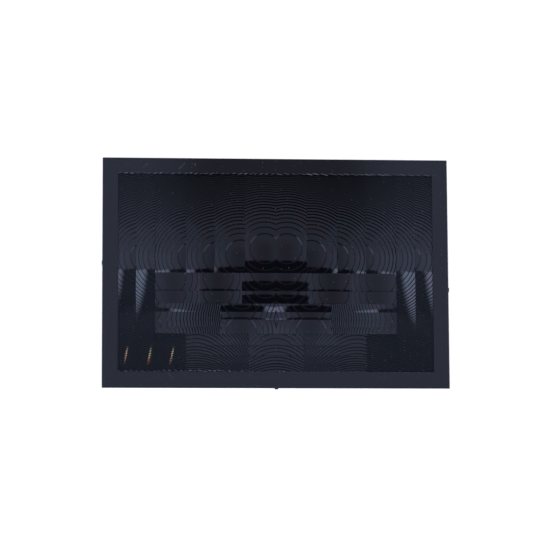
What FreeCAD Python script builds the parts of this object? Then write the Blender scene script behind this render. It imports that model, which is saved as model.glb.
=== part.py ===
import FreeCAD, Part
import math
import os

# Flat lens sheet of a motion sensor: one thin moulded sheet with a smooth border and a
# field of rectangular lens tiles. Every tile is a piece of a grooved convex lens, cut off
# centre, so that it looks at its own patch of the room. Millimetres. The sheet lies on its
# smooth back: X runs along its length, Y up its picture, Z out of the grooved face.

# The sheet
sheet_length = 60.0
sheet_height = 40.0
sheet_thickness = 0.5
edge_bevel = 0.15

# The lens field inside the smooth border
side_border = 2.7
top_border = 2.75

# The grooves
focal_length = 30.0
refractive_index = 1.53
groove_depth = 0.23
peak_below_border = 0.02
riser_draft_deg = 25.0
finest_pitch = 1.1
flats_per_turn = 32

# Upper row: tile edges and optical centres as distances from the middle line, going
# outwards. The last tile ends at the field's edge.
upper_row_height = 17.3
upper_edges = (0.0, 5.4, 10.7, 15.6, 20.9, 24.2)
upper_centre_offsets = (1.93, 6.12, 10.0, 14.36, 18.35, 22.52)
upper_centre_drops = (13.02, 14.16, 14.5, 14.57, 14.57, 14.58)
side_tiles_from = 4
corner_tile = 3

# Two rows of six tiles under it
six_tile_edges = (0.0, 5.9, 13.15)
six_tile_offsets = (1.91, 10.03, 18.23)
first_six_height = 3.15
first_six_drops = (-0.65, 0.79, 1.03)
second_six_height = 2.18
second_six_drops = (-1.42, 0.17, 0.52)

# Four rows of long tiles, of which the last two have one common tile at the middle
long_tile_edges = (0.0, 9.52)
long_tile_offsets = (6.03, 22.52)
first_long_height = 1.45
first_long_drops = (-1.69, -1.22)
second_long_height = 1.31
second_long_drops = (-1.0, -0.23)
third_long_height = 1.31
fourth_long_height = 1.14
tall_middle_drop = 2.13
third_outer_drop = 1.26
fourth_outer_drop = 2.22

# The inner tile edges of every other row stand this much further out, so that four tiles
# never meet in one corner
row_stagger = 0.03

# Four lowest rows, each with a middle tile across the middle line and one on each side
lowest_middle_half = 4.75
lowest_outer_offset = 13.95
lowest_heights = (2.01, 1.78, 1.4, 1.4)
lowest_middle_drops = (4.58, 6.48, 8.02, 9.64)
lowest_outer_drops = (6.25, 8.02, 10.05, 12.25)

# How far the cutting bodies stand out of the sheet, the step in which the lens height is
# added up, and the distance under which two corners are one
cutter_headroom = 0.3
radius_step = 0.01
same_place = 1e-6

# Worked out from the sizes above
field_half = sheet_length / 2 - side_border
field_top = sheet_height / 2 - top_border
block_half = upper_edges[side_tiles_from]
peak_z = sheet_thickness - peak_below_border
valley_z = peak_z - groove_depth
cutter_top = sheet_thickness + cutter_headroom
riser_run = groove_depth * math.tan(math.radians(riser_draft_deg))


def facet_slope(radius):
    """Slope of the facet that bends light from the focus to run parallel to the axis."""
    angle = math.atan(radius / focal_length)
    return math.sin(angle) / (refractive_index - math.cos(angle))


def zone_radii(reach):
    """Radii of the risers out to reach: one for each groove depth of smooth lens height.

    Zones that are narrower than the finest pitch share a groove with the next.
    """
    radii = [0.0]
    radius = 0.0
    height = 0.0
    zones = 0
    while radii[-1] < reach:
        height += radius_step * facet_slope(radius + radius_step / 2)
        radius += radius_step
        if height >= (zones + 1) * groove_depth:
            zones += 1
            if radius - radii[-1] >= finest_pitch:
                radii.append(radius)
    return radii


def groove_profile(radii):
    """Corners, as radius and height, of all that is cut away from first to last riser."""
    corners = [(radii[0], peak_z)]
    for outer in radii[1:]:
        corners.append((outer - riser_run, valley_z))
        corners.append((outer, peak_z))
    corners.append((radii[-1], cutter_top))
    corners.append((radii[0], cutter_top))
    return corners


def spoke(corners, turn):
    """The profile's corners in space, on the half plane that is turned about the axis."""
    return [FreeCAD.Vector(radius * math.cos(turn), radius * math.sin(turn), height)
            for radius, height in corners]


def flat(corners):
    """Flat face through corners that lie in one plane, without those that coincide."""
    kept = [corner for index, corner in enumerate(corners)
            if corner.distanceToPoint(corners[index - 1]) > same_place]
    return Part.Face(Part.makePolygon(kept + kept[:1])) if len(kept) > 2 else None


def ring_flats(radii, first_flat, flat_count):
    """Solid of the rings as flats, each as wide as one step of the turn."""
    corners = groove_profile(radii)
    step = 2 * math.pi / flats_per_turn
    spokes = [spoke(corners, (first_flat + index - 0.5) * step) for index in range(flat_count + 1)]
    faces = []
    for here, there in zip(spokes, spokes[1:]):
        for index in range(len(corners)):
            faces.append(flat([here[index - 1], here[index], there[index], there[index - 1]]))
    if flat_count < flats_per_turn:
        faces += [flat(spokes[0]), flat(spokes[-1])]
    body = Part.Solid(Part.Shell([face for face in faces if face]))
    if body.Volume < 0:
        body.reverse()
    return body


def flats_over(tile, centre):
    """First flat and number of flats that cover a tile as seen from its axis."""
    left, right, bottom, top = tile
    x, y = centre
    if left < x < right and bottom < y < top:
        return 0, flats_per_turn
    facing = math.atan2((bottom + top) / 2 - y, (left + right) / 2 - x)
    turns = []
    for corner_x in (left, right):
        for corner_y in (bottom, top):
            turn = math.atan2(corner_y - y, corner_x - x) - facing
            turns.append(facing + math.remainder(turn, 2 * math.pi))
    step = 2 * math.pi / flats_per_turn
    first = math.floor(min(turns) / step + 0.5)
    last = math.floor(max(turns) / step + 0.5)
    return first, last - first + 1


def tile_cutter(tile, centre):
    """Everything to be taken away above the grooves of one rectangular tile."""
    left, right, bottom, top = tile
    x, y = centre
    near = math.hypot(max(left - x, x - right, 0.0), max(bottom - y, y - top, 0.0))
    far = math.hypot(max(right - x, x - left), max(top - y, y - bottom))
    flat_middle = math.cos(math.pi / flats_per_turn)
    radii = zone_radii(far / flat_middle)
    while len(radii) > 2 and radii[1] <= near:
        radii.pop(0)
    grooves = ring_flats(radii, *flats_over(tile, centre))
    grooves.translate(FreeCAD.Vector(x, y, 0))
    corner = FreeCAD.Vector(left, bottom, valley_z - cutter_headroom)
    window = Part.makeBox(right - left, top - bottom, cutter_top - corner.z + cutter_headroom, corner)
    return grooves.common(window)


def both_sides(inner, outer, bottom, top, offset, centre_y):
    """The tile on the right of the middle line and its mirror image on the left."""
    return [((inner, outer, bottom, top), (offset, centre_y)),
            ((-outer, -inner, bottom, top), (-offset, centre_y))]


def staggered(edges):
    """The tile edges of a row, moved out by the stagger apart from the middle line."""
    return edges[:1] + tuple(edge + row_stagger for edge in edges[1:])


def row_of_tiles(edges, last_edge, top, height, offsets, drops):
    """A row of tiles on both sides of the middle line, with its centres below its top."""
    outer_edges = edges[1:] + (last_edge,)
    tiles = []
    for inner, outer, offset, drop in zip(edges, outer_edges, offsets, drops):
        tiles += both_sides(inner, outer, top - height, top, offset, top - drop)
    return tiles


def upper_tiles(bottom):
    """The tall row. Its two outermost lenses on each side run on to the field's bottom."""
    lower_edge = field_top - upper_row_height
    tiles = []
    outer_edges = upper_edges[1:] + (field_half,)
    for index, inner in enumerate(upper_edges):
        end = bottom if index >= side_tiles_from else lower_edge
        centre_y = field_top - upper_centre_drops[index]
        tiles += both_sides(inner, outer_edges[index], end, field_top,
                            upper_centre_offsets[index], centre_y)
    return tiles


def long_rows(top):
    """Two rows of long tiles, then two whose middle tiles are one tall tile."""
    second_top = top - first_long_height
    tall_top = second_top - second_long_height
    fourth_top = tall_top - third_long_height
    bottom = fourth_top - fourth_long_height
    inner_edge = long_tile_edges[1]
    middle_x, outer_x = long_tile_offsets
    tiles = row_of_tiles(long_tile_edges, block_half, top, first_long_height,
                         long_tile_offsets, first_long_drops)
    tiles += row_of_tiles(staggered(long_tile_edges), block_half, second_top, second_long_height,
                          long_tile_offsets, second_long_drops)
    tiles += both_sides(0.0, inner_edge, bottom, tall_top, middle_x, tall_top - tall_middle_drop)
    tiles += both_sides(inner_edge, block_half, fourth_top, tall_top,
                        outer_x, tall_top - third_outer_drop)
    tiles += both_sides(inner_edge, block_half, bottom, fourth_top,
                        outer_x, fourth_top - fourth_outer_drop)
    return tiles, bottom


def lowest_rows(top):
    """Four rows whose lenses are centred below them, and a block of the upper lens beside."""
    outer_edge = upper_edges[corner_tile]
    tiles = []
    row_top = top
    for index, height in enumerate(lowest_heights):
        row_bottom = row_top - height
        middle_half = lowest_middle_half + row_stagger * (index % 2)
        middle_y = row_top - lowest_middle_drops[index]
        outer_y = row_top - lowest_outer_drops[index]
        tiles.append(((-middle_half, middle_half, row_bottom, row_top), (0.0, middle_y)))
        tiles += both_sides(middle_half, outer_edge, row_bottom, row_top,
                            lowest_outer_offset, outer_y)
        row_top = row_bottom
    tiles += both_sides(outer_edge, block_half, row_top, top, upper_centre_offsets[corner_tile],
                        field_top - upper_centre_drops[corner_tile])
    return tiles, row_top


def all_tiles():
    """Every tile of the field with its optical centre, from the top row down."""
    six_top = field_top - upper_row_height
    second_six_top = six_top - first_six_height
    long_top = second_six_top - second_six_height
    tiles = row_of_tiles(six_tile_edges, block_half, six_top, first_six_height,
                         six_tile_offsets, first_six_drops)
    tiles += row_of_tiles(staggered(six_tile_edges), block_half, second_six_top, second_six_height,
                          six_tile_offsets, second_six_drops)
    long_tiles, lowest_top = long_rows(long_top)
    lowest_tiles, field_bottom = lowest_rows(lowest_top)
    return upper_tiles(field_bottom) + tiles + long_tiles + lowest_tiles


def bevelled_blank():
    """The plain sheet with a small bevel round its front face."""
    corner = FreeCAD.Vector(-sheet_length / 2, -sheet_height / 2, 0)
    blank = Part.makeBox(sheet_length, sheet_height, sheet_thickness, corner)
    front_edges = [edge for edge in blank.Edges
                   if edge.BoundBox.ZMin > sheet_thickness - same_place]
    return blank.makeChamfer(edge_bevel, front_edges)


def lens_sheet():
    """The sheet with its grooves cut in tile by tile."""
    blank = bevelled_blank()
    cutters = [tile_cutter(tile, centre) for tile, centre in all_tiles()]
    return blank.cut(cutters)


os.makedirs("parts", exist_ok=True)
sheet = lens_sheet()
sheet.exportStep("parts/lens_sheet.step")
print("tiles", len(all_tiles()), "solids", len(sheet.Solids), "faces", len(sheet.Faces),
      "volume", round(sheet.Volume, 3), "valid", sheet.isValid())
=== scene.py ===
"""Motion sensor lens: a thin dark polyethylene sheet with a field of grooved lens tiles.

Sizes are millimetres in the classes and become metres when a mesh is handed to Blender.
The sheet lies on its smooth back: X runs along its length, Y up its picture, Z out of the
grooved face.
"""

import logging
import math
import random
from dataclasses import dataclass, field
from enum import Enum

import bmesh
import bpy
from mathutils import Matrix, Vector


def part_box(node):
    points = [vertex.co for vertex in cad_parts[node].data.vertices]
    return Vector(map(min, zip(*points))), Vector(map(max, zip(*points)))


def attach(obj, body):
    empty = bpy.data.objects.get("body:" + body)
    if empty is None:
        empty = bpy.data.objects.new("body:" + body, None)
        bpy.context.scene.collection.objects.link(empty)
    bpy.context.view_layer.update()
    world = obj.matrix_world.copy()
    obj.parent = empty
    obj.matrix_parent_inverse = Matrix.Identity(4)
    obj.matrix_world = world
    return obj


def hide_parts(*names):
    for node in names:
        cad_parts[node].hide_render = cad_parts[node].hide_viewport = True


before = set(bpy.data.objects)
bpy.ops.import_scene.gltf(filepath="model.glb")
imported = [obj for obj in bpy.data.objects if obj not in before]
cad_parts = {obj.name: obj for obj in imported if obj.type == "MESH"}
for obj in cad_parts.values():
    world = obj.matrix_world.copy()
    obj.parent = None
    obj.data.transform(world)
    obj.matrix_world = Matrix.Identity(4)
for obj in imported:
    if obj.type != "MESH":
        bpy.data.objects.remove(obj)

MM = 0.001
BODY = "root"
NODE = "lens_sheet"
SAME_PLACE = 1e-4
UNIT = 1.0
QUARTER_ROUND = 0.5
KEEP_MATERIAL = -1

log = logging.getLogger("lens_sheet")


class Side(Enum):
    """The side of the middle line that a tile lies on."""

    LEFT = -1
    RIGHT = 1


class Edge(Enum):
    """An edge of the sheet, as the direction out of it."""

    LEFT = (-1, 0)
    RIGHT = (1, 0)
    BOTTOM = (0, -1)


class NodeBench:
    """Adds nodes to a node tree and joins them, one value at a time."""

    def __init__(self, tree: bpy.types.NodeTree) -> None:
        """Starts an empty bench.

        Args:
            tree: The node tree of a material or of the world.
        """
        tree.nodes.clear()
        self.tree = tree

    def add(self, kind: str, **settings: object) -> bpy.types.Node:
        """Adds a node.

        Args:
            kind: Blender's name of the node's type.
            settings: Values for the node's own properties.

        Returns:
            The new node.
        """
        node = self.tree.nodes.new(kind)
        for name, value in settings.items():
            setattr(node, name, value)
        return node

    def feed(self, socket: bpy.types.NodeSocket, value: object) -> None:
        """Joins an output to a socket, or sets the socket to a plain value.

        Args:
            socket: The input to fill.
            value: An output socket, a number, or a colour.
        """
        if isinstance(value, bpy.types.NodeSocket):
            self.tree.links.new(value, socket)
        else:
            socket.default_value = value

    def sum_of(self, operation: str, *values: object, clamp: bool = False) -> bpy.types.NodeSocket:
        """Works out one step of arithmetic.

        Args:
            operation: Blender's name of the step, such as MULTIPLY.
            values: Output sockets or numbers.
            clamp: Whether the result is kept between 0 and 1.

        Returns:
            The result.
        """
        node = self.add("ShaderNodeMath", operation=operation, use_clamp=clamp)
        for socket, value in zip(node.inputs, values):
            self.feed(socket, value)
        return node.outputs[0]

    def rise(self, value: object, low: float, high: float,
             start: float = 0.0, end: float = 1.0) -> bpy.types.NodeSocket:
        """Goes smoothly from start to end while a value goes from low to high.

        Args:
            value: The value that is followed.
            low: Where the rise begins.
            high: Where the rise ends.
            start: The result at and below low.
            end: The result at and above high.

        Returns:
            The result.
        """
        node = self.add("ShaderNodeMapRange", interpolation_type="SMOOTHSTEP")
        for socket, number in zip(node.inputs, (value, low, high, start, end)):
            self.feed(socket, number)
        return node.outputs[0]

    def blend(self, share: object, first: object, second: object) -> bpy.types.NodeSocket:
        """Mixes two numbers.

        Args:
            share: The share of the second number.
            first: The number at share 0.
            second: The number at share 1.

        Returns:
            The mixed number.
        """
        node = self.add("ShaderNodeMix", data_type="FLOAT")
        self.feed(node.inputs[0], share)
        self.feed(node.inputs[2], first)
        self.feed(node.inputs[3], second)
        return node.outputs[0]

    def tint(self, share: object, first: object, second: object) -> bpy.types.NodeSocket:
        """Mixes two colours.

        Args:
            share: The share of the second colour.
            first: The colour at share 0.
            second: The colour at share 1.

        Returns:
            The mixed colour.
        """
        node = self.add("ShaderNodeMix", data_type="RGBA")
        self.feed(node.inputs[0], share)
        self.feed(node.inputs[6], first)
        self.feed(node.inputs[7], second)
        return node.outputs[2]

    def background(self, colour: object, level: object) -> bpy.types.NodeSocket:
        """Makes the light of a world.

        Args:
            colour: Its colour.
            level: Its strength.

        Returns:
            The light as a shader.
        """
        node = self.add("ShaderNodeBackground")
        self.feed(node.inputs["Color"], colour)
        self.feed(node.inputs["Strength"], level)
        return node.outputs[0]

    def noise(self, place: bpy.types.NodeSocket, scale: float,
              detail: float) -> bpy.types.NodeSocket:
        """Makes a cloudy pattern.

        Args:
            place: The coordinates that carry the pattern.
            scale: Clouds to the metre.
            detail: How many finer layers are added.

        Returns:
            The pattern, from 0 to 1.
        """
        node = self.add("ShaderNodeTexNoise")
        self.feed(node.inputs["Vector"], place)
        self.feed(node.inputs["Scale"], scale)
        self.feed(node.inputs["Detail"], detail)
        return node.outputs[0]


@dataclass(frozen=True)
class DarkPolyethylene:
    """Glossy near-black polyethylene that looks blue-grey where it mirrors the sky light."""

    name: str = "dark_polyethylene"
    deep_colour: tuple = (0.0014, 0.0020, 0.0036, 1.0)
    warm_colour: tuple = (0.0022, 0.0018, 0.0034, 1.0)
    cool_gloss: tuple = (0.60, 0.70, 1.0, 1.0)
    warm_gloss: tuple = (0.68, 0.66, 1.0, 1.0)
    index: float = 1.53
    # Painted light: a paler base colour at the sides and the lower part, standing in for the
    # brighter light mirrored there.
    painted_light_colour: tuple = (0.0113, 0.0135, 0.0208, 1.0)
    painted_light_across: tuple = (0.011, 0.024)
    painted_light_below: tuple = (0.006, 0.013)
    smoothest: float = 0.03
    dullest: float = 0.06
    satin: float = 0.3
    field_half: float = 0.0272
    field_half_height: float = 0.0171
    polished_half: tuple = (0.009, 0.017)
    cloud_scale: float = 260.0
    cloud_detail: float = 3.0
    warm_clouds: tuple = (0.38, 0.62)
    dull_clouds: tuple = (0.3, 0.7)
    film_scale: float = 700.0
    film_detail: float = 1.0
    film_clouds: tuple = (0.35, 0.65)
    grain_scale: float = 5200.0
    grain_detail: float = 2.0
    grain_height: float = 0.0000003
    speck_colour: tuple = (0.075, 0.083, 0.10, 1.0)
    speck_spacing: float = 900.0
    speck_size: float = 0.058
    speck_sizes_from: float = 0.55
    speck_softness: float = 0.01
    speck_roughness: float = 0.8

    def material(self) -> bpy.types.Material:
        """Makes the material.

        Returns:
            The finished material.
        """
        made = bpy.data.materials.new(self.name)
        made.use_nodes = True
        bench = NodeBench(made.node_tree)
        place = bench.add("ShaderNodeTexCoord").outputs["Object"]
        cloud = bench.noise(place, self.cloud_scale, self.cloud_detail)
        grain = bench.noise(place, self.grain_scale, self.grain_detail)
        film = bench.noise(place, self.film_scale, self.film_detail)
        colour = bench.tint(bench.rise(cloud, *self.warm_clouds),
                            self.deep_colour, self.warm_colour)
        # Painted light: the base colour turns paler towards the sides and the lower part.
        colour = bench.tint(self.painted_light_share(bench, place), colour, self.painted_light_colour)
        speck = self.specks(bench, place)
        shader = bench.add("ShaderNodeBsdfPrincipled")
        bench.feed(shader.inputs["Base Color"], bench.tint(speck, colour, self.speck_colour))
        polish = bench.rise(cloud, *self.dull_clouds, self.smoothest, self.dullest)
        polish = bench.blend(self.border_share(bench, place), polish, self.satin)
        bench.feed(shader.inputs["Roughness"], bench.blend(speck, polish, self.speck_roughness))
        shader.inputs["IOR"].default_value = self.index
        gloss = bench.tint(bench.rise(film, *self.film_clouds), self.cool_gloss, self.warm_gloss)
        bench.feed(shader.inputs["Specular Tint"], gloss)
        bump = bench.add("ShaderNodeBump")
        bump.inputs["Distance"].default_value = self.grain_height
        bench.feed(bump.inputs["Height"], grain)
        bench.feed(shader.inputs["Normal"], bump.outputs[0])
        output = bench.add("ShaderNodeOutputMaterial")
        bench.feed(output.inputs["Surface"], shader.outputs[0])
        return made

    def border_share(self, bench: NodeBench, place: bpy.types.NodeSocket) -> bpy.types.NodeSocket:
        """Finds the satin border, which is as glossy as the field at the middle of its top.

        Args:
            bench: The material's bench.
            place: The coordinates that carry the pattern.

        Returns:
            The share of the satin finish.
        """
        parts = bench.add("ShaderNodeSeparateXYZ")
        bench.feed(parts.inputs[0], place)
        across = bench.sum_of("ABSOLUTE", parts.outputs[0])
        up = bench.sum_of("ABSOLUTE", parts.outputs[1])
        outside = bench.sum_of("MAXIMUM", bench.sum_of("GREATER_THAN", across, self.field_half),
                               bench.sum_of("GREATER_THAN", up, self.field_half_height))
        polished = bench.sum_of("MULTIPLY", bench.rise(across, *self.polished_half, 1.0, 0.0),
                                bench.sum_of("GREATER_THAN", parts.outputs[1], 0.0))
        return bench.sum_of("MULTIPLY", outside, bench.sum_of("SUBTRACT", 1.0, polished))

    def painted_light_share(self, bench: NodeBench, place: bpy.types.NodeSocket) -> bpy.types.NodeSocket:
        """Finds where light is painted into the base colour: paler at the sides and the lower
        part, standing in for the brighter light mirrored there.

        Args:
            bench: The material's bench.
            place: The coordinates that carry the pattern.

        Returns:
            The share of the painted light.
        """
        parts = bench.add("ShaderNodeSeparateXYZ")
        bench.feed(parts.inputs[0], place)
        beside = bench.rise(bench.sum_of("ABSOLUTE", parts.outputs[0]), *self.painted_light_across)
        below = bench.rise(bench.sum_of("MULTIPLY", parts.outputs[1], -1.0), *self.painted_light_below)
        return bench.sum_of("MAXIMUM", beside, below)

    def specks(self, bench: NodeBench, place: bpy.types.NodeSocket) -> bpy.types.NodeSocket:
        """Scatters tiny pale dust specks.

        Args:
            bench: The material's bench.
            place: The coordinates that carry the pattern.

        Returns:
            1 on a speck and 0 beside it.
        """
        cells = bench.add("ShaderNodeTexVoronoi", feature="F1", voronoi_dimensions="2D")
        bench.feed(cells.inputs["Vector"], place)
        bench.feed(cells.inputs["Scale"], self.speck_spacing)
        parts = bench.add("ShaderNodeSeparateColor")
        bench.feed(parts.inputs[0], cells.outputs["Color"])
        size = bench.rise(parts.outputs[0], self.speck_sizes_from, 1.0, 0.0, self.speck_size)
        return bench.rise(bench.sum_of("SUBTRACT", size, cells.outputs["Distance"]),
                          0.0, self.speck_softness)


@dataclass(frozen=True)
class RoughBurr:
    """Paler torn plastic of the fine marks that tools and handling left."""

    name: str = "rough_burr"
    colour: tuple = (0.13, 0.14, 0.165, 1.0)
    faint_colour: tuple = (0.025, 0.028, 0.035, 1.0)
    cloud_scale: float = 900.0
    cloud_detail: float = 2.0
    pale_clouds: tuple = (0.35, 0.65)
    roughness: float = 0.45

    def material(self) -> bpy.types.Material:
        """Makes the material.

        Returns:
            The finished material.
        """
        made = bpy.data.materials.new(self.name)
        made.use_nodes = True
        bench = NodeBench(made.node_tree)
        place = bench.add("ShaderNodeTexCoord").outputs["Object"]
        cloud = bench.rise(bench.noise(place, self.cloud_scale, self.cloud_detail),
                           *self.pale_clouds)
        shader = bench.add("ShaderNodeBsdfPrincipled")
        bench.feed(shader.inputs["Base Color"], bench.tint(cloud, self.faint_colour, self.colour))
        shader.inputs["Roughness"].default_value = self.roughness
        output = bench.add("ShaderNodeOutputMaterial")
        bench.feed(output.inputs["Surface"], shader.outputs[0])
        return made


@dataclass(frozen=True)
class Tile:
    """One rectangular piece of a lens, with the lens's optical centre."""

    left: float
    right: float
    bottom: float
    top: float
    centre_x: float
    centre_y: float

    def corners(self) -> list[tuple[float, float]]:
        """Returns the four corners as seen from the optical centre."""
        return [(x - self.centre_x, y - self.centre_y)
                for x in (self.left, self.right) for y in (self.bottom, self.top)]

    def holds_centre(self) -> bool:
        """Returns whether the optical centre lies inside the tile."""
        return (self.left < self.centre_x < self.right
                and self.bottom < self.centre_y < self.top)

    def nearest(self) -> float:
        """Returns the distance from the optical centre to the tile."""
        return math.hypot(max(self.left - self.centre_x, self.centre_x - self.right, 0.0),
                          max(self.bottom - self.centre_y, self.centre_y - self.top, 0.0))

    def farthest(self) -> float:
        """Returns the distance from the optical centre to the tile's farthest corner."""
        return max(math.hypot(x, y) for x, y in self.corners())

    def turn_range(self) -> tuple[float, float]:
        """Finds the angles that the tile covers as seen from its optical centre.

        Returns:
            The first angle and the last.
        """
        if self.holds_centre():
            return 0.0, math.tau
        facing = math.atan2((self.bottom + self.top) / 2 - self.centre_y,
                            (self.left + self.right) / 2 - self.centre_x)
        turns = [facing + math.remainder(math.atan2(y, x) - facing, math.tau)
                 for x, y in self.corners()]
        return min(turns), max(turns)


@dataclass(frozen=True)
class GrooveLaw:
    """How the grooves of a flat lens follow from what the lens does."""

    focal_length: float = 30.0
    refractive_index: float = 1.53
    groove_depth: float = 0.23
    riser_draft: float = math.radians(17.0)
    bend_share: float = 0.03
    widest_bend: float = 0.03
    bend_step: float = math.radians(22.0)
    shortest_bend_part: float = 0.01
    facet_part: float = 0.32
    settling_rounds: int = 12

    def slope(self, radius: float) -> float:
        """Returns the facet slope that bends light from the focus parallel to the axis."""
        angle = math.atan(radius / self.focal_length)
        return math.sin(angle) / (self.refractive_index - math.cos(angle))

    def next_riser(self, radius: float) -> float:
        """Finds where the smooth lens has fallen by one more groove depth.

        Args:
            radius: The riser before.

        Returns:
            The next riser's radius.
        """
        width = math.sqrt(self.groove_depth)
        for _ in range(self.settling_rounds):
            width = (width + self.groove_depth / self.slope(radius + width / 2)) / 2
        return radius + width

    def zones(self, near: float, far: float) -> list[tuple[float, float]]:
        """Lists the grooves between two radii.

        Args:
            near: The radius that the first groove reaches in to.
            far: The radius that the last groove reaches out to.

        Returns:
            The inner and outer radius of each groove.
        """
        found = []
        inner = 0.0
        while inner < far:
            outer = self.next_riser(inner)
            if outer > near:
                found.append((inner, outer))
            inner = outer
        return found

    def arc(self, radius: float, height: float, bend: float,
            first_tilt: float, last_tilt: float) -> list[tuple[float, float]]:
        """Draws a small arc of the profile.

        Args:
            radius: Where the arc is level, or would be.
            height: Its height there.
            bend: The arc's radius, positive for a ridge and negative for a valley.
            first_tilt: The fall at its inner end, below zero where it rises.
            last_tilt: The fall at its outer end.

        Returns:
            The line's corners as radius and height.
        """
        turn = last_tilt - first_tilt
        step = max(self.bend_step, self.shortest_bend_part / abs(bend))
        parts = max(1, round(abs(turn) / step))
        tilts = [first_tilt + turn * part / parts for part in range(parts + 1)]
        return [(radius + bend * math.sin(tilt), height - bend * (1 - math.cos(tilt)))
                for tilt in tilts]

    def groove(self, start: tuple[float, float], outer: float, peak: float,
               bend: float) -> list[tuple[float, float]]:
        """Draws one groove: its facet, the rounded valley, the riser and the rounded ridge.

        Args:
            start: Radius and height at which the facet begins.
            outer: Radius of the ridge at the groove's outer end.
            peak: Height of the ridge.
            bend: Radius of the roundings.

        Returns:
            The line's corners as radius and height.
        """
        first, height = start
        steep = math.pi / 2 - self.riser_draft
        tilt = math.atan(self.slope(outer))
        fall = math.tan(tilt) * (outer - first) + peak - height
        riser = max(fall - 2 * bend * (1 - math.cos(steep)), 0.0)
        foot = outer - 2 * bend * math.sin(steep) - riser * math.tan(self.riser_draft)
        valley = foot - bend * math.sin(tilt)
        parts = max(1, round((valley - first) / self.facet_part))
        line = []
        for part in range(1, parts + 1):
            radius = first + (valley - first) * part / parts
            line.append((radius, height - self.slope((first + radius) / 2) * (radius - first)))
        floor = line[-1][1] - bend * (1 - math.cos(tilt))
        line += self.arc(foot, floor, -bend, tilt, -steep)[1:]
        return line + self.arc(outer, peak, bend, -steep, tilt)

    def profile(self, near: float, far: float, peak: float) -> list[tuple[float, float]]:
        """Draws the surface of all grooves between two radii.

        Args:
            near: The innermost radius that is needed.
            far: The outermost radius that is needed.
            peak: Height of the ridges.

        Returns:
            The line's corners as radius and height.
        """
        zones = self.zones(near, far)
        line = [(zones[0][0], peak)]
        for inner, outer in zones:
            bend = min(self.widest_bend, self.bend_share * (outer - inner))
            line += self.groove(line[-1], outer, peak, bend)
        return line


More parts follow.
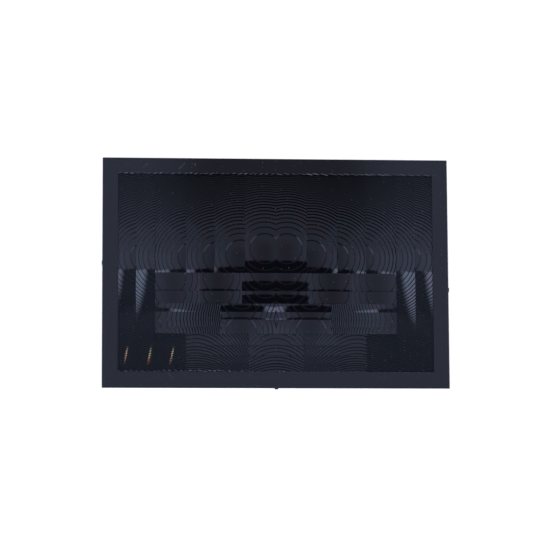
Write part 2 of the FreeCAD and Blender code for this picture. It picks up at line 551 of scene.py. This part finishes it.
@dataclass(frozen=True)
class FieldLayout:
    """Where the tiles and their optical centres lie, outwards from the middle line.

    A drop is an optical centre's distance below the upper edge of its row.
    """

    half_width: float = 27.3
    top: float = 17.25
    upper_height: float = 17.3
    upper_edges: tuple = (0.0, 5.4, 10.7, 15.6, 20.9, 24.2)
    upper_offsets: tuple = (1.93, 6.12, 10.0, 14.36, 18.35, 22.52)
    upper_drops: tuple = (13.02, 14.16, 14.5, 14.57, 14.57, 14.58)
    side_tiles_from: int = 4
    corner_tile: int = 3
    six_edges: tuple = (0.0, 5.9, 13.15)
    six_offsets: tuple = (1.91, 10.03, 18.23)
    six_rows: tuple = ((3.15, (-0.65, 0.79, 1.03)), (2.18, (-1.42, 0.17, 0.52)))
    long_edges: tuple = (0.0, 9.52)
    long_offsets: tuple = (6.03, 22.52)
    long_rows: tuple = ((1.45, (-1.69, -1.22)), (1.31, (-1.0, -0.23)))
    tall_middle_drop: float = 2.13
    outer_long_rows: tuple = ((1.31, 1.26), (1.14, 2.22))
    lowest_half: float = 4.75
    lowest_outer_offset: float = 13.95
    lowest_rows: tuple = ((2.01, 4.58, 6.25), (1.78, 6.48, 8.02),
                          (1.4, 8.02, 10.05), (1.4, 9.64, 12.25))

    def block_half(self) -> float:
        """Returns how far the block of rows reaches to each side."""
        return self.upper_edges[self.side_tiles_from]

    def rows_top(self) -> float:
        """Returns the upper edge of the rows under the tall one."""
        return self.top - self.upper_height

    def lowest_top(self) -> float:
        """Returns the upper edge of the lowest rows."""
        rows = self.six_rows + self.long_rows + self.outer_long_rows
        return self.rows_top() - sum(row[0] for row in rows)

    def bottom(self) -> float:
        """Returns the lower edge of the field."""
        return self.lowest_top() - sum(row[0] for row in self.lowest_rows)

    def both(self, inner: float, outer: float, bottom: float, top: float,
             offset: float, centre_y: float) -> list[Tile]:
        """Places a tile and its mirror image.

        Args:
            inner: The tile's edge nearer the middle line.
            outer: The tile's edge farther from it.
            bottom: The tile's lower edge.
            top: The tile's upper edge.
            offset: The optical centre's distance from the middle line.
            centre_y: The optical centre's height in the picture.

        Returns:
            The two tiles.
        """
        tiles = []
        for side in Side:
            left, right = sorted((side.value * inner, side.value * outer))
            tiles.append(Tile(left, right, bottom, top, side.value * offset, centre_y))
        return tiles

    def row(self, edges: tuple, height: float, top: float,
            offsets: tuple, drops: tuple) -> list[Tile]:
        """Places a row of tiles inside the block.

        Args:
            edges: Inner edges of the tiles.
            height: The row's height.
            top: The row's upper edge.
            offsets: The optical centres' distances from the middle line.
            drops: The optical centres' distances below the row's upper edge.

        Returns:
            The row's tiles.
        """
        tiles = []
        outer_edges = edges[1:] + (self.block_half(),)
        for inner, outer, offset, drop in zip(edges, outer_edges, offsets, drops):
            tiles += self.both(inner, outer, top - height, top, offset, top - drop)
        return tiles

    def upper_tiles(self) -> list[Tile]:
        """Returns the tall row, whose outermost tiles run on to the field's bottom."""
        tiles = []
        outer_edges = self.upper_edges[1:] + (self.half_width,)
        for index, (inner, outer) in enumerate(zip(self.upper_edges, outer_edges)):
            end = self.bottom() if index >= self.side_tiles_from else self.rows_top()
            tiles += self.both(inner, outer, end, self.top, self.upper_offsets[index],
                               self.top - self.upper_drops[index])
        return tiles

    def middle_tiles(self) -> list[Tile]:
        """Returns the rows of six tiles and the rows of long tiles."""
        tiles = []
        row_top = self.rows_top()
        for height, drops in self.six_rows:
            tiles += self.row(self.six_edges, height, row_top, self.six_offsets, drops)
            row_top -= height
        for height, drops in self.long_rows:
            tiles += self.row(self.long_edges, height, row_top, self.long_offsets, drops)
            row_top -= height
        inner_edge = self.long_edges[1]
        tiles += self.both(0.0, inner_edge, self.lowest_top(), row_top,
                           self.long_offsets[0], row_top - self.tall_middle_drop)
        for height, drop in self.outer_long_rows:
            tiles += self.both(inner_edge, self.block_half(), row_top - height, row_top,
                               self.long_offsets[1], row_top - drop)
            row_top -= height
        return tiles

    def lowest_tiles(self) -> list[Tile]:
        """Returns the lowest rows and the two corner blocks beside them."""
        outer_edge = self.upper_edges[self.corner_tile]
        half = self.lowest_half
        row_top = self.lowest_top()
        tiles = self.both(outer_edge, self.block_half(), self.bottom(), row_top,
                          self.upper_offsets[self.corner_tile],
                          self.top - self.upper_drops[self.corner_tile])
        for height, middle_drop, outer_drop in self.lowest_rows:
            tiles.append(Tile(-half, half, row_top - height, row_top, 0.0, row_top - middle_drop))
            tiles += self.both(half, outer_edge, row_top - height, row_top,
                               self.lowest_outer_offset, row_top - outer_drop)
            row_top -= height
        return tiles

    def all_tiles(self) -> list[Tile]:
        """Returns every tile of the field."""
        return self.upper_tiles() + self.middle_tiles() + self.lowest_tiles()


@dataclass(frozen=True)
class GateStub:
    """A tiny rest of the moulding gate on an edge of the sheet."""

    edge: Edge
    along: float
    width: float
    reach: float


@dataclass
class LensSheet:
    """The moulded sheet: a smooth border round a field of grooved tiles."""

    length: float
    height: float
    thickness: float
    layout: FieldLayout = field(default_factory=FieldLayout)
    grooves: GrooveLaw = field(default_factory=GrooveLaw)
    finish: DarkPolyethylene = field(default_factory=DarkPolyethylene)
    peak_below_border: float = 0.02
    pocket_floor: float = 0.2
    edge_radius: float = 0.15
    edge_parts: int = 3
    rim_inset: float = 0.36
    rim_step: float = 0.03
    rim_parts: int = 3
    turn_step: float = 0.07
    sharp_edge: float = math.radians(4.0)
    trim_tolerance: float = 1e-5
    stub_height: float = 0.3
    stub_rounding: float = 1 / 3
    stub_parts: int = 2
    stubs: tuple = (GateStub(Edge.LEFT, 1.6, 0.7, 0.09),
                    GateStub(Edge.RIGHT, -2.8, 0.7, 0.12),
                    GateStub(Edge.BOTTOM, 0.0, 0.6, 0.2))

    def tile_surface(self, tile: Tile) -> bmesh.types.BMesh:
        """Turns the groove profile about the optical centre and trims it to the tile.

        Args:
            tile: The tile to make.

        Returns:
            The grooved surface, open underneath.
        """
        peak = self.thickness - self.peak_below_border
        first, last = tile.turn_range()
        steps = math.ceil((last - first) / self.turn_step)
        far = tile.farthest() / math.cos(self.turn_step / 2)
        surface = bmesh.new()
        line = [surface.verts.new((radius, 0.0, height))
                for radius, height in self.grooves.profile(tile.nearest(), far, peak)]
        runs = [surface.edges.new(pair) for pair in zip(line, line[1:])]
        bmesh.ops.rotate(surface, cent=(0, 0, 0), matrix=Matrix.Rotation(first, 3, "Z"),
                         verts=line)
        bmesh.ops.spin(surface, geom=line + runs, cent=(0, 0, 0), axis=(0, 0, 1),
                       angle=last - first, steps=steps, use_merge=tile.holds_centre())
        bmesh.ops.remove_doubles(surface, verts=surface.verts[:], dist=SAME_PLACE)
        bmesh.ops.translate(surface, vec=(tile.centre_x, tile.centre_y, 0), verts=surface.verts[:])
        sides = ((tile.left, 0, -1, 0), (tile.right, 0, 1, 0),
                 (0, tile.bottom, 0, -1), (0, tile.top, 0, 1))
        for x, y, out_x, out_y in sides:
            everything = surface.verts[:] + surface.edges[:] + surface.faces[:]
            bmesh.ops.bisect_plane(surface, geom=everything, dist=self.trim_tolerance,
                                   plane_co=(x, y, 0), plane_no=(out_x, out_y, 0),
                                   clear_outer=True)
        return surface

    def close_below(self, surface: bmesh.types.BMesh) -> None:
        """Gives a tile's surface its four side walls and a flat underside.

        Args:
            surface: The tile's surface, which becomes a closed block.
        """
        rim = [edge for edge in surface.edges if edge.is_boundary]
        drawn = bmesh.ops.extrude_edge_only(surface, edges=rim)["geom"]
        for corner in drawn:
            if isinstance(corner, bmesh.types.BMVert):
                corner.co.z = self.pocket_floor
        rim = [edge for edge in surface.edges if edge.is_boundary]
        bmesh.ops.holes_fill(surface, edges=rim, sides=0)
        bmesh.ops.recalc_face_normals(surface, faces=surface.faces[:])

    def border(self) -> bmesh.types.BMesh:
        """Makes the plain sheet with its rounded edge and a pocket for the tiles.

        Returns:
            The border and the plate under the field.
        """
        plate = bmesh.new()
        bmesh.ops.create_cube(plate, size=UNIT)
        rim_height = self.thickness - self.rim_step
        bmesh.ops.scale(plate, vec=(self.length, self.height, rim_height), verts=plate.verts[:])
        bmesh.ops.translate(plate, vec=(0, 0, rim_height / 2), verts=plate.verts[:])
        top_edges = [edge for edge in plate.edges
                     if min(corner.co.z for corner in edge.verts) > self.thickness / 2]
        bmesh.ops.bevel(plate, geom=top_edges, offset=self.edge_radius, offset_type="OFFSET",
                        segments=self.edge_parts, profile=QUARTER_ROUND, affect="EDGES",
                        material=KEEP_MATERIAL)
        self.raise_face(plate)
        half, low, high = self.layout.half_width, self.layout.bottom(), self.layout.top
        for cut, way in (((-half, 0, 0), (1, 0, 0)), ((half, 0, 0), (1, 0, 0)),
                         ((0, low, 0), (0, 1, 0)), ((0, high, 0), (0, 1, 0))):
            bmesh.ops.bisect_plane(plate, geom=plate.verts[:] + plate.edges[:] + plate.faces[:],
                                   dist=SAME_PLACE, plane_co=cut, plane_no=way)
        middle = Vector((0, (low + high) / 2, self.thickness))
        lid = min(plate.faces, key=lambda face: (face.calc_center_median() - middle).length)
        sunk = bmesh.ops.extrude_face_region(plate, geom=[lid])["geom"]
        for corner in sunk:
            if isinstance(corner, bmesh.types.BMVert):
                corner.co.z = self.pocket_floor
        bmesh.ops.delete(plate, geom=[lid], context="FACES_ONLY")
        bmesh.ops.recalc_face_normals(plate, faces=plate.faces[:])
        return plate

    def raise_face(self, plate: bmesh.types.BMesh) -> None:
        """Raises the face inside a narrow rim by a small rounded step.

        Args:
            plate: The plain sheet, as high as its rim.
        """
        face = max(plate.faces, key=lambda face: face.calc_center_median().z)
        bmesh.ops.inset_region(plate, faces=[face], thickness=self.rim_inset, use_even_offset=True)
        turns = [math.pi / 2 * part / self.rim_parts for part in range(self.rim_parts + 1)]
        for low, high in zip(turns, turns[1:]):
            bmesh.ops.inset_region(plate, faces=[face], use_even_offset=True,
                                   thickness=self.rim_step * (math.cos(low) - math.cos(high)),
                                   depth=self.rim_step * (math.sin(high) - math.sin(low)))

    def stub(self, stub: GateStub) -> bmesh.types.BMesh:
        """Makes the rest of a gate, half sunk into the sheet's edge.

        Args:
            stub: Its place and size.

        Returns:
            The stub.
        """
        out_x, out_y = stub.edge.value
        body = bmesh.new()
        bmesh.ops.create_cube(body, size=UNIT)
        width = Vector((abs(out_y), abs(out_x), 0)) * stub.width
        reach = Vector((abs(out_x), abs(out_y), 0)) * stub.reach * 2
        size = width + reach + Vector((0, 0, self.stub_height))
        bmesh.ops.scale(body, vec=size, verts=body.verts[:])
        bmesh.ops.bevel(body, geom=body.edges[:], offset=stub.reach * self.stub_rounding,
                        offset_type="OFFSET", segments=self.stub_parts, profile=QUARTER_ROUND,
                        affect="EDGES", material=KEEP_MATERIAL)
        place = Vector((out_x * self.length / 2 + abs(out_y) * stub.along,
                        out_y * self.height / 2 + abs(out_x) * stub.along,
                        self.stub_height / 2))
        bmesh.ops.translate(body, vec=place, verts=body.verts[:])
        return body

    def build(self) -> bpy.types.Object:
        """Makes the whole sheet as one piece.

        Returns:
            The piece, which stands for the CAD node.
        """
        whole = Assembly("moulded_sheet")
        whole.take(self.border())
        for tile in self.layout.all_tiles():
            surface = self.tile_surface(tile)
            self.close_below(surface)
            whole.take(surface)
        for stub in self.stubs:
            whole.take(self.stub(stub))
        return whole.finished(self.finish.material(), self.sharp_edge)


@dataclass(frozen=True)
class Sliver:
    """One torn fleck of plastic: its middle, its size and how far it is turned."""

    x: float
    y: float
    length: float
    width: float
    turn: float


@dataclass
class EdgeBurrs:
    """Torn slivers along the field's upper and lower edges, and scratches on the border.

    A pair of numbers is the range of a random share of a size, or of a random shift.
    """

    thickness: float
    layout: FieldLayout = field(default_factory=FieldLayout)
    finish: RoughBurr = field(default_factory=RoughBurr)
    seed: int = 11
    proud: float = 0.008
    depth: float = 0.03
    width: float = 0.11
    roundness: int = 2
    left_length: float = 0.85
    left_turn: float = math.radians(19.0)
    right_length: float = 1.35
    right_turn: float = math.radians(-11.0)
    upper_spacing: float = 1.0
    above_edge: float = 0.05
    upper_lengths: tuple = (0.75, 1.15)
    upper_turns: tuple = (0.7, 1.3)
    upper_shifts: tuple = (-0.05, 0.06)
    upper_widths: tuple = (0.6, 1.2)
    upper_steps: tuple = (0.8, 1.15)
    lower_spacing: float = 0.85
    lower_length: float = 0.65
    lower_turn: float = math.radians(-13.0)
    fleck_length: float = 0.17
    left_rise: float = 0.15
    lower_lengths: tuple = (0.7, 1.2)
    lower_turns: tuple = (0.4, 1.4)
    lower_shifts: tuple = (-0.1, 0.08)
    lower_widths: tuple = (0.5, 1.1)
    lower_steps: tuple = (0.6, 1.5)
    scratches: tuple = (Sliver(-22.59, 18.6, 1.45, 0.1, math.radians(46.0)),
                        Sliver(-16.27, 18.6, 1.75, 0.11, math.radians(46.0)),
                        Sliver(-14.0, 18.85, 0.75, 0.06, math.radians(77.0)),
                        Sliver(-18.2, -17.9, 2.2, 0.035, math.radians(-47.0)))
    sharp_edge: float = math.radians(50.0)

    def upper_row(self, chance: random.Random) -> list[Sliver]:
        """Lays slivers along the upper edge, leaning up towards the middle line.

        Args:
            chance: The source of the small differences.

        Returns:
            The slivers.
        """
        row = []
        x = -self.layout.half_width
        while x < self.layout.half_width:
            left = x < 0
            length = self.left_length if left else self.right_length
            length *= chance.uniform(*self.upper_lengths)
            turn = self.left_turn if left else self.right_turn
            turn *= chance.uniform(*self.upper_turns)
            y = self.layout.top + self.above_edge + chance.uniform(*self.upper_shifts)
            width = self.width * chance.uniform(*self.upper_widths)
            row.append(Sliver(x + length / 2, y, length, width, turn))
            spacing = self.upper_spacing if left else self.right_length
            x += spacing * chance.uniform(*self.upper_steps)
        return row

    def lower_row(self, chance: random.Random) -> list[Sliver]:
        """Lays slivers along the lower edge, and only flecks on its right half.

        Args:
            chance: The source of the small differences.

        Returns:
            The slivers.
        """
        row = []
        x = -self.layout.half_width
        while x < self.layout.half_width:
            left = x < -self.layout.lowest_half
            length = self.lower_length if left else self.fleck_length
            length *= chance.uniform(*self.lower_lengths)
            rise = self.left_rise if left else 0.0
            y = self.layout.bottom() + rise + chance.uniform(*self.lower_shifts)
            turn = self.lower_turn * chance.uniform(*self.lower_turns)
            width = self.width * chance.uniform(*self.lower_widths)
            row.append(Sliver(x + length / 2, y, length, width, turn))
            x += self.lower_spacing * chance.uniform(*self.lower_steps)
        return row

    def spindle(self, sliver: Sliver) -> bmesh.types.BMesh:
        """Makes one sliver as a flat spindle that is sunk into the sheet's face.

        Args:
            sliver: Its place and size.

        Returns:
            The sliver.
        """
        body = bmesh.new()
        bmesh.ops.create_icosphere(body, subdivisions=self.roundness, radius=UNIT / 2)
        bmesh.ops.scale(body, vec=(sliver.length, sliver.width, self.depth), verts=body.verts[:])
        bmesh.ops.rotate(body, cent=(0, 0, 0), matrix=Matrix.Rotation(sliver.turn, 3, "Z"),
                         verts=body.verts[:])
        height = self.thickness + self.proud - self.depth / 2
        bmesh.ops.translate(body, vec=(sliver.x, sliver.y, height), verts=body.verts[:])
        return body

    def build(self) -> bpy.types.Object:
        """Makes all slivers and scratches as one piece.

        Returns:
            The piece.
        """
        chance = random.Random(self.seed)
        whole = Assembly("edge_burrs")
        for sliver in self.upper_row(chance) + self.lower_row(chance) + list(self.scratches):
            whole.take(self.spindle(sliver))
        return whole.finished(self.finish.material(), self.sharp_edge)


class Assembly:
    """Gathers the parts of one piece and hands them to Blender in metres."""

    def __init__(self, name: str) -> None:
        """Starts an empty piece.

        Args:
            name: The piece's name.
        """
        self.name = name
        self.body = bmesh.new()

    def take(self, part: bmesh.types.BMesh) -> None:
        """Adds a part and frees it.

        Args:
            part: The part, in millimetres.
        """
        carrier = bpy.data.meshes.new("carrier")
        part.to_mesh(carrier)
        part.free()
        self.body.from_mesh(carrier)
        bpy.data.meshes.remove(carrier)

    def finished(self, material: bpy.types.Material, sharp_edge: float) -> bpy.types.Object:
        """Makes the object.

        Args:
            material: The finish of the piece.
            sharp_edge: The angle in radians above which an edge isn't smoothed over.

        Returns:
            The object, which rides on the sheet's body.
        """
        bmesh.ops.scale(self.body, vec=(MM, MM, MM), verts=self.body.verts[:])
        mesh = bpy.data.meshes.new(self.name)
        self.body.to_mesh(mesh)
        self.body.free()
        mesh.shade_smooth()
        mesh.set_sharp_from_angle(angle=sharp_edge)
        mesh.materials.append(material)
        piece = bpy.data.objects.new(self.name, mesh)
        bpy.context.scene.collection.objects.link(piece)
        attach(piece, BODY)
        log.info("%s: %d faces", self.name, len(mesh.polygons))
        return piece


@dataclass(frozen=True)
class StudioFloor:
    """A plain pale table top."""

    size: float = 8.0
    drop: float = 0.00002
    colour: tuple = (0.82, 0.82, 0.82, 1.0)
    roughness: float = 0.9
    shown_colour: tuple = (1.0, 1.0, 1.0, 1.0)
    shown_white: float = 0.55

    def build(self) -> bpy.types.Object:
        """Makes the floor.

        Returns:
            The floor.
        """
        plane = bmesh.new()
        bmesh.ops.create_grid(plane, x_segments=1, y_segments=1, size=self.size / 2)
        bmesh.ops.translate(plane, vec=(0, 0, -self.drop), verts=plane.verts[:])
        mesh = bpy.data.meshes.new("floor")
        plane.to_mesh(mesh)
        plane.free()
        mesh.materials.append(self.material())
        floor = bpy.data.objects.new("floor", mesh)
        bpy.context.scene.collection.objects.link(floor)
        return floor

    def material(self) -> bpy.types.Material:
        """Makes a pale surface that looks white and still takes the sheet's shadow.

        Returns:
            The floor's material.
        """
        made = bpy.data.materials.new("pale_floor")
        made.use_nodes = True
        bench = NodeBench(made.node_tree)
        rays = bench.add("ShaderNodeLightPath")
        seen = bench.sum_of("ADD", rays.outputs["Is Camera Ray"], rays.outputs["Is Glossy Ray"])
        seen = bench.sum_of("ADD", seen, rays.outputs["Is Transmission Ray"], clamp=True)
        shader = bench.add("ShaderNodeBsdfPrincipled")
        shader.inputs["Base Color"].default_value = self.colour
        shader.inputs["Roughness"].default_value = self.roughness
        shader.inputs["Emission Color"].default_value = self.shown_colour
        bench.feed(shader.inputs["Emission Strength"],
                   bench.sum_of("MULTIPLY", seen, self.shown_white))
        output = bench.add("ShaderNodeOutputMaterial")
        bench.feed(output.inputs["Surface"], shader.outputs[0])
        return made


@dataclass(frozen=True)
class WarmStrip:
    """A narrow warm lamp low in front, which glints in the lowest side grooves."""

    direction: tuple = (-0.178, -0.908, 0.378)
    half_width: tuple = (0.002, 0.010)
    half_height: tuple = (0.004, 0.046)
    strength: float = 26.0
    lower_colour: tuple = (1.0, 0.34, 0.10, 1.0)
    upper_colour: tuple = (1.0, 0.78, 0.42, 1.0)
    colour_turns: tuple = (-0.035, 0.01)
    front_half: tuple = (0.8, 0.9)

    def along(self, bench: NodeBench, view: bpy.types.NodeSocket,
              axis: Vector) -> bpy.types.NodeSocket:
        """Finds how far a direction leans towards an axis.

        Args:
            bench: The world's bench.
            view: The direction.
            axis: The axis, of length 1.

        Returns:
            The cosine of the angle between them.
        """
        node = bench.add("ShaderNodeVectorMath", operation="DOT_PRODUCT")
        bench.feed(node.inputs[0], view)
        bench.feed(node.inputs[1], tuple(axis))
        return node.outputs["Value"]

    def glow(self, bench: NodeBench, view: bpy.types.NodeSocket) -> bpy.types.NodeSocket:
        """Makes the lamp's light.

        Args:
            bench: The world's bench.
            view: The direction that is looked in.

        Returns:
            The light as a shader.
        """
        ahead = Vector(self.direction).normalized()
        side = Vector((0, 0, 1)).cross(ahead).normalized()
        height = self.along(bench, view, ahead.cross(side))
        facing = bench.rise(self.along(bench, view, ahead), *self.front_half)
        across = bench.sum_of("ABSOLUTE", self.along(bench, view, side))
        across = bench.rise(across, *self.half_width, 1.0, 0.0)
        upright = bench.rise(bench.sum_of("ABSOLUTE", height), *self.half_height, 1.0, 0.0)
        share = bench.sum_of("MULTIPLY", bench.sum_of("MULTIPLY", across, upright), facing)
        colour = bench.tint(bench.rise(height, *self.colour_turns),
                            self.lower_colour, self.upper_colour)
        return bench.background(colour, bench.sum_of("MULTIPLY", share, self.strength))


@dataclass(frozen=True)
class StudioLight:
    """A soft overhead light, dimmer straight above, with a dark gap in front between panels.

    Directions are parts of a unit vector: X to the sheet's right, Y up its picture.
    """

    middle_level: float = 0.41
    side_level: float = 1.05
    behind_middle: float = 0.57
    behind_side: float = 0.72
    far_level: float = 0.56
    gap_level: float = 0.04
    panel_level: float = 3.3
    low_level: float = 0.30
    middle: float = 0.06
    side_rise: tuple = (0.0, 0.68)
    behind_rise: tuple = (0.14, 0.40)
    far_rise: tuple = (0.62, 0.95)
    gap_begins: tuple = (0.105, 0.13)
    gap_centre: float = 0.045
    gap_half: tuple = (0.43, 0.54)
    panels_end: tuple = (0.66, 0.78)
    horizon: tuple = (0.02, 0.09)
    middle_colour: tuple = (1.0, 1.0, 0.97, 1.0)
    side_colour: tuple = (0.94, 1.01, 1.04, 1.0)
    strip: WarmStrip = field(default_factory=WarmStrip)

    def build(self) -> None:
        """Makes the world light."""
        world = bpy.data.worlds.new("studio_light")
        world.use_nodes = True
        bpy.context.scene.world = world
        bench = NodeBench(world.node_tree)
        view = bench.add("ShaderNodeTexCoord").outputs["Generated"]
        parts = bench.add("ShaderNodeSeparateXYZ")
        bench.feed(parts.inputs[0], view)
        x, y, z = parts.outputs
        front = bench.sum_of("MULTIPLY", y, -1.0)
        beside_gap = bench.sum_of("ABSOLUTE", bench.sum_of("SUBTRACT", x, self.gap_centre))
        aside = bench.rise(bench.sum_of("ABSOLUTE", bench.sum_of("SUBTRACT", x, self.middle)),
                           *self.side_rise)
        above = bench.blend(aside, self.middle_level, self.side_level)
        behind = bench.blend(aside, self.behind_middle, self.behind_side)
        behind = bench.blend(bench.rise(y, *self.far_rise), behind, self.far_level)
        behind = bench.blend(bench.rise(y, *self.behind_rise), above, behind)
        panels = bench.rise(beside_gap, *self.gap_half, self.gap_level, self.panel_level)
        ahead = bench.blend(bench.rise(front, *self.panels_end), panels, self.low_level)
        level = bench.blend(bench.rise(front, *self.gap_begins), behind, ahead)
        level = bench.blend(bench.rise(z, *self.horizon), self.side_level, level)
        colour = bench.tint(aside, self.middle_colour, self.side_colour)
        both = bench.add("ShaderNodeAddShader")
        bench.feed(both.inputs[0], bench.background(colour, level))
        bench.feed(both.inputs[1], self.strip.glow(bench, view))
        output = bench.add("ShaderNodeOutputWorld")
        bench.feed(output.inputs["Surface"], both.outputs[0])


@dataclass(frozen=True)
class OverheadCamera:
    """The camera above the sheet, a little in front and to the left."""

    aim: tuple = (-1.6245, 1.1453, 0.0)
    forward: tuple = (0.073569, 0.138055, -0.987688)
    distance: float = 449.24
    roll: float = math.radians(0.2435)
    focal_length: float = 175.42
    sensor: float = 36.0
    nearest: float = 0.01

    def build(self) -> bpy.types.Object:
        """Makes the camera and gives it to the scene.

        Returns:
            The camera.
        """
        data = bpy.data.cameras.new("camera")
        data.lens = self.focal_length
        data.sensor_width = self.sensor
        data.clip_start = self.nearest
        camera = bpy.data.objects.new("camera", data)
        forward = Vector(self.forward).normalized()
        side = forward.cross(Vector((0, 1, 0))).normalized()
        up = side.cross(forward)
        up = up * math.cos(self.roll) + side * math.sin(self.roll)
        side = forward.cross(up)
        turn = Matrix((side, up, -forward)).transposed()
        place = (Vector(self.aim) - forward * self.distance) * MM
        camera.matrix_world = Matrix.Translation(place) @ turn.to_4x4()
        bpy.context.scene.collection.objects.link(camera)
        bpy.context.scene.camera = camera
        return camera


def main() -> None:
    """Builds the lens sheet and its studio, and reports each piece."""
    logging.basicConfig(level=logging.INFO, format="%(name)s: %(message)s")
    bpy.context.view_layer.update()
    bpy.context.scene.view_settings.view_transform = "Standard"
    low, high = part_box(NODE)
    size = (high - low) / MM
    sheet = LensSheet(length=size.x, height=size.y, thickness=size.z)
    piece = sheet.build()
    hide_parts(NODE)
    EdgeBurrs(thickness=size.z).build()
    StudioFloor().build()
    StudioLight().build()
    OverheadCamera().build()


if __name__ == "__main__":
    main()
